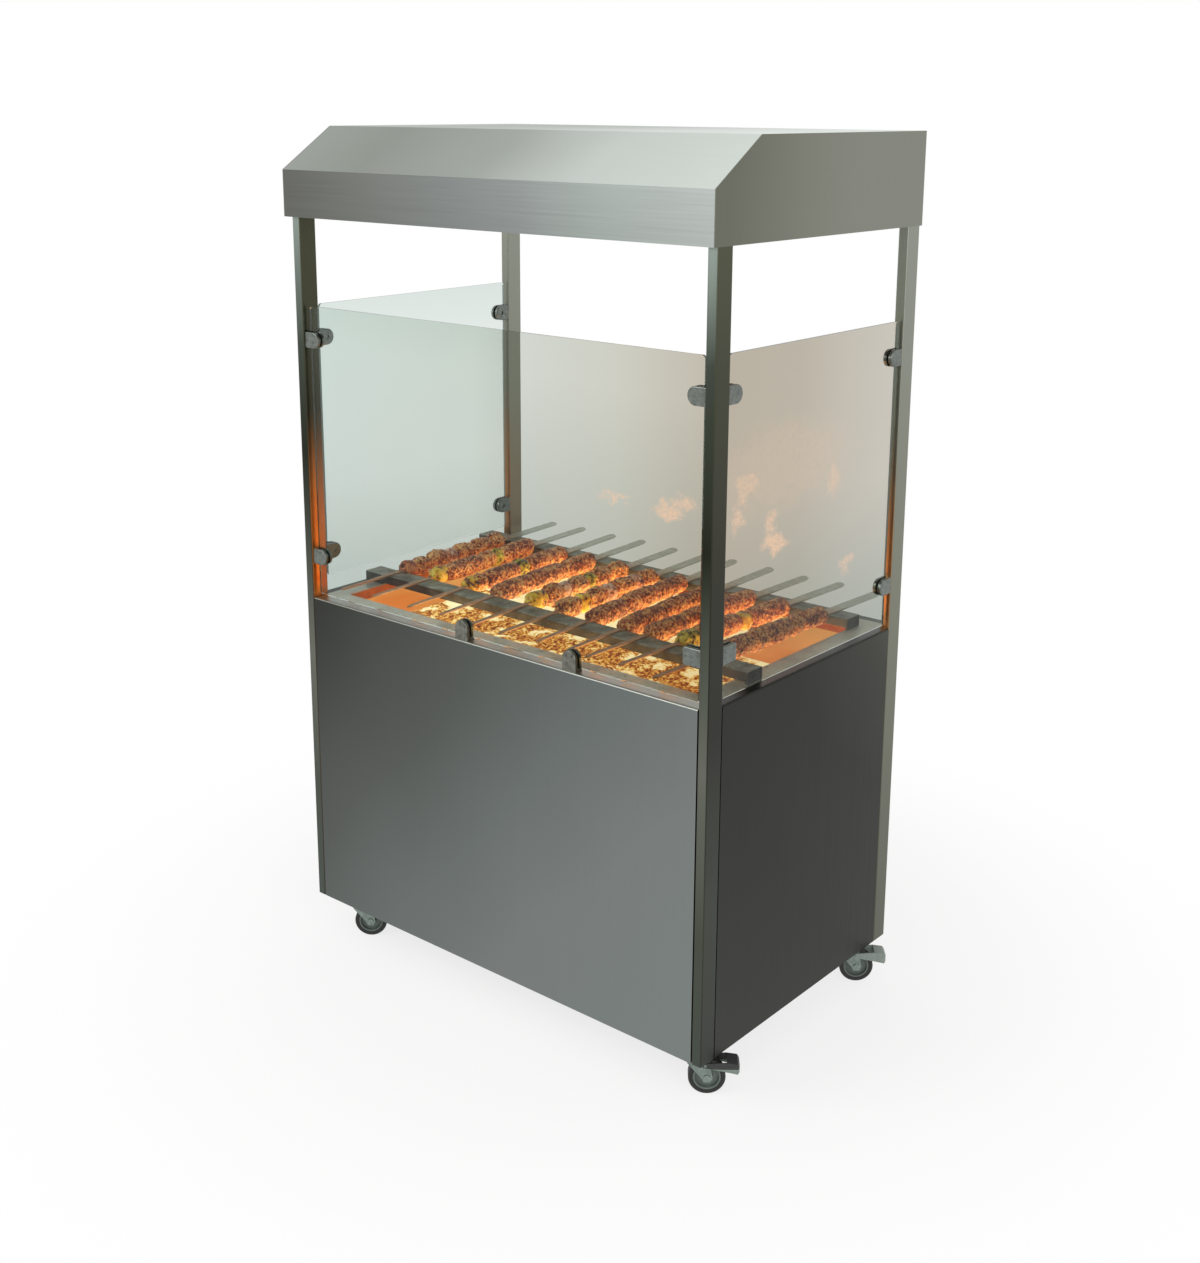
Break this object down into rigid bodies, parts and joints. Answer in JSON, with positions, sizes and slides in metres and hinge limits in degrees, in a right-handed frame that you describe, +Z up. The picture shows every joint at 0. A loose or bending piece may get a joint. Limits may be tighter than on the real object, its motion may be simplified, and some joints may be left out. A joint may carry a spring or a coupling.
{
  "type": "charcoal kebab grill",
  "caption": "Charcoal kebab grill: steel cabinet on castors, glass-screened fire trough with flat skewers on two rails, and a hood on corner posts.",
  "frame": {"origin": "centre of the footprint of the whole grill, skewer handles and pedals included, on the floor", "axes": "+Z up; -Y towards the customer's side with the front glass; +X to the right seen from there"},
  "size_m": [1.2504, 0.8724, 1.989],
  "materials": {
    "brushed_sheet": "brushed stainless sheet, dull, with a soft grain",
    "frame_steel": "mill-finish stainless tube",
    "sooty_steel": "heat-stained and sooty steel",
    "firebrick": "matte, porous fired clay",
    "cast_grate": "rough and sooty",
    "charcoal": "glowing embers under thin ash",
    "sooty_rail": "darkened by smoke and fat",
    "glass": "clear tempered glass",
    "clamp_metal": "satin",
    "clamp_rubber": "black rubber",
    "castor_zinc": "bright zinc plate",
    "castor_tyre": "black rubber tyre on a grey hub",
    "brake_plastic": "matte",
    "skewer_steel": "flat steel, browned by heat towards the tip",
    "food": "grilled meat and vegetables, glossy with fat"
  },
  "bodies": {
    "cabinet": {"base_frame": "frame_steel", "front_posts": "brushed_sheet", "rear_posts": "brushed_sheet", "front_panel": "brushed_sheet", "left_side_panel": "brushed_sheet", "right_side_panel": "brushed_sheet", "rear_panel": "brushed_sheet", "cabinet_floor": "frame_steel", "door_hinge_pins": "frame_steel", "drawer_runners": "frame_steel", "deck_frame": "brushed_sheet", "fire_trough": "sooty_steel", "firebrick_lining": "firebrick", "charcoal_grate": "cast_grate", "charcoal_bed": "charcoal", "front_glass": "glass", "left_glass": "glass", "right_glass": "glass", "hood_canopy": "brushed_sheet", "hood_cheeks": "brushed_sheet", "castor_plates": "castor_zinc", "glass_clamps": "clamp_metal", "clamp_pads": "clamp_rubber"},
    "skewer_01_with_food": {"skewer_01": "skewer_steel", "kebab_01": "food"},
    "skewer_02_with_food": {"skewer_02": "skewer_steel", "kebab_02": "food"},
    "skewer_03_with_food": {"skewer_03": "skewer_steel", "kebab_03": "food"},
    "skewer_04_with_food": {"skewer_04": "skewer_steel", "kebab_04": "food"},
    "skewer_05_with_food": {"skewer_05": "skewer_steel", "kebab_05": "food"},
    "skewer_06_with_food": {"skewer_06": "skewer_steel", "kebab_06": "food"},
    "skewer_07_with_food": {"skewer_07": "skewer_steel", "kebab_07": "food"},
    "skewer_08_with_food": {"skewer_08": "skewer_steel", "kebab_08": "food"},
    "skewer_09_with_food": {"skewer_09": "skewer_steel", "kebab_09": "food"},
    "skewer_10_with_food": {"skewer_10": "skewer_steel", "kebab_10": "food"},
    "skewer_11_with_food": {"skewer_11": "skewer_steel", "kebab_11": "food"},
    "front_rail": {"front_skewer_rail": "sooty_rail"},
    "rear_rail": {"rear_skewer_rail": "sooty_rail"},
    "castor_front_left": {"castor_fork_front_left": "castor_zinc"},
    "wheel_front_left": {"castor_wheel_front_left": "castor_tyre"},
    "castor_front_right": {"castor_fork_front_right": "castor_zinc"},
    "wheel_front_right": {"castor_wheel_front_right": "castor_tyre"},
    "pedal_front_right": {"brake_pedal_front_right": "brake_plastic"},
    "castor_rear_left": {"castor_fork_rear_left": "castor_zinc"},
    "wheel_rear_left": {"castor_wheel_rear_left": "castor_tyre"},
    "castor_rear_right": {"castor_fork_rear_right": "castor_zinc"},
    "wheel_rear_right": {"castor_wheel_rear_right": "castor_tyre"},
    "pedal_rear_right": {"brake_pedal_rear_right": "brake_plastic"},
    "left_door_leaf": {"left_door": "brushed_sheet"},
    "right_door_leaf": {"right_door": "brushed_sheet"},
    "ash_tray": {"ash_drawer": "brushed_sheet"}
  },
  "joints": [
    {"name": "skewer_01_lift", "type": "slide", "parent": "cabinet", "child": "skewer_01_with_food", "axis": [0, 0, 1], "range_m": [0, 0.15]},
    {"name": "skewer_02_lift", "type": "slide", "parent": "cabinet", "child": "skewer_02_with_food", "axis": [0, 0, 1], "range_m": [0, 0.15]},
    {"name": "skewer_03_lift", "type": "slide", "parent": "cabinet", "child": "skewer_03_with_food", "axis": [0, 0, 1], "range_m": [0, 0.15]},
    {"name": "skewer_04_lift", "type": "slide", "parent": "cabinet", "child": "skewer_04_with_food", "axis": [0, 0, 1], "range_m": [0, 0.15]},
    {"name": "skewer_05_lift", "type": "slide", "parent": "cabinet", "child": "skewer_05_with_food", "axis": [0, 0, 1], "range_m": [0, 0.15]},
    {"name": "skewer_06_lift", "type": "slide", "parent": "cabinet", "child": "skewer_06_with_food", "axis": [0, 0, 1], "range_m": [0, 0.15]},
    {"name": "skewer_07_lift", "type": "slide", "parent": "cabinet", "child": "skewer_07_with_food", "axis": [0, 0, 1], "range_m": [0, 0.15]},
    {"name": "skewer_08_lift", "type": "slide", "parent": "cabinet", "child": "skewer_08_with_food", "axis": [0, 0, 1], "range_m": [0, 0.15]},
    {"name": "skewer_09_lift", "type": "slide", "parent": "cabinet", "child": "skewer_09_with_food", "axis": [0, 0, 1], "range_m": [0, 0.15]},
    {"name": "skewer_10_lift", "type": "slide", "parent": "cabinet", "child": "skewer_10_with_food", "axis": [0, 0, 1], "range_m": [0, 0.15]},
    {"name": "skewer_11_lift", "type": "slide", "parent": "cabinet", "child": "skewer_11_with_food", "axis": [0, 0, 1], "range_m": [0, 0.15]},
    {"name": "front_rail_shift", "type": "slide", "parent": "cabinet", "child": "front_rail", "axis": [1, 0, 0], "range_m": [-0.015, 0.008]},
    {"name": "rear_rail_shift", "type": "slide", "parent": "cabinet", "child": "rear_rail", "axis": [1, 0, 0], "range_m": [-0.015, 0.015]},
    {"name": "castor_front_left_swivel", "type": "hinge", "parent": "cabinet", "child": "castor_front_left", "pos_m": [-0.50624, -0.36619, 0.08], "axis": [0, 0, 1], "continuous": true},
    {"name": "wheel_front_left_spin", "type": "hinge", "parent": "castor_front_left", "child": "wheel_front_left", "pos_m": [-0.48668, -0.35063, 0.04], "axis": [-0.6225, 0.7826, 0], "continuous": true},
    {"name": "castor_front_right_swivel", "type": "hinge", "parent": "cabinet", "child": "castor_front_right", "pos_m": [0.54175, -0.36619, 0.08], "axis": [0, 0, 1], "continuous": true},
    {"name": "wheel_front_right_spin", "type": "hinge", "parent": "castor_front_right", "child": "wheel_front_right", "pos_m": [0.56132, -0.35063, 0.04], "axis": [-0.6225, 0.7826, 0], "continuous": true},
    {"name": "pedal_front_right_press", "type": "hinge", "parent": "castor_front_right", "child": "pedal_front_right", "pos_m": [0.55819, -0.35312, 0.071], "axis": [-0.6225, 0.7826, 0], "range_deg": [0, 15]},
    {"name": "castor_rear_left_swivel", "type": "hinge", "parent": "cabinet", "child": "castor_rear_left", "pos_m": [-0.50624, 0.23581, 0.08], "axis": [0, 0, 1], "continuous": true},
    {"name": "wheel_rear_left_spin", "type": "hinge", "parent": "castor_rear_left", "child": "wheel_rear_left", "pos_m": [-0.48668, 0.25137, 0.04], "axis": [-0.6225, 0.7826, 0], "continuous": true},
    {"name": "castor_rear_right_swivel", "type": "hinge", "parent": "cabinet", "child": "castor_rear_right", "pos_m": [0.54175, 0.23581, 0.08], "axis": [0, 0, 1], "continuous": true},
    {"name": "wheel_rear_right_spin", "type": "hinge", "parent": "castor_rear_right", "child": "wheel_rear_right", "pos_m": [0.56132, 0.25137, 0.04], "axis": [-0.6225, 0.7826, 0], "continuous": true},
    {"name": "pedal_rear_right_press", "type": "hinge", "parent": "castor_rear_right", "child": "pedal_rear_right", "pos_m": [0.55819, 0.24888, 0.071], "axis": [-0.6225, 0.7826, 0], "range_deg": [0, 15]},
    {"name": "left_door_hinge", "type": "hinge", "parent": "cabinet", "child": "left_door_leaf", "pos_m": [-0.54475, 0.32881, 0.242], "axis": [0, 0, 1], "range_deg": [0, 110]},
    {"name": "right_door_hinge", "type": "hinge", "parent": "cabinet", "child": "right_door_leaf", "pos_m": [0.53226, 0.32881, 0.242], "axis": [0, 0, -1], "range_deg": [0, 110]},
    {"name": "ash_drawer_slide", "type": "slide", "parent": "cabinet", "child": "ash_tray", "axis": [0, 1, 0], "range_m": [0, 0.45]}
  ]
}
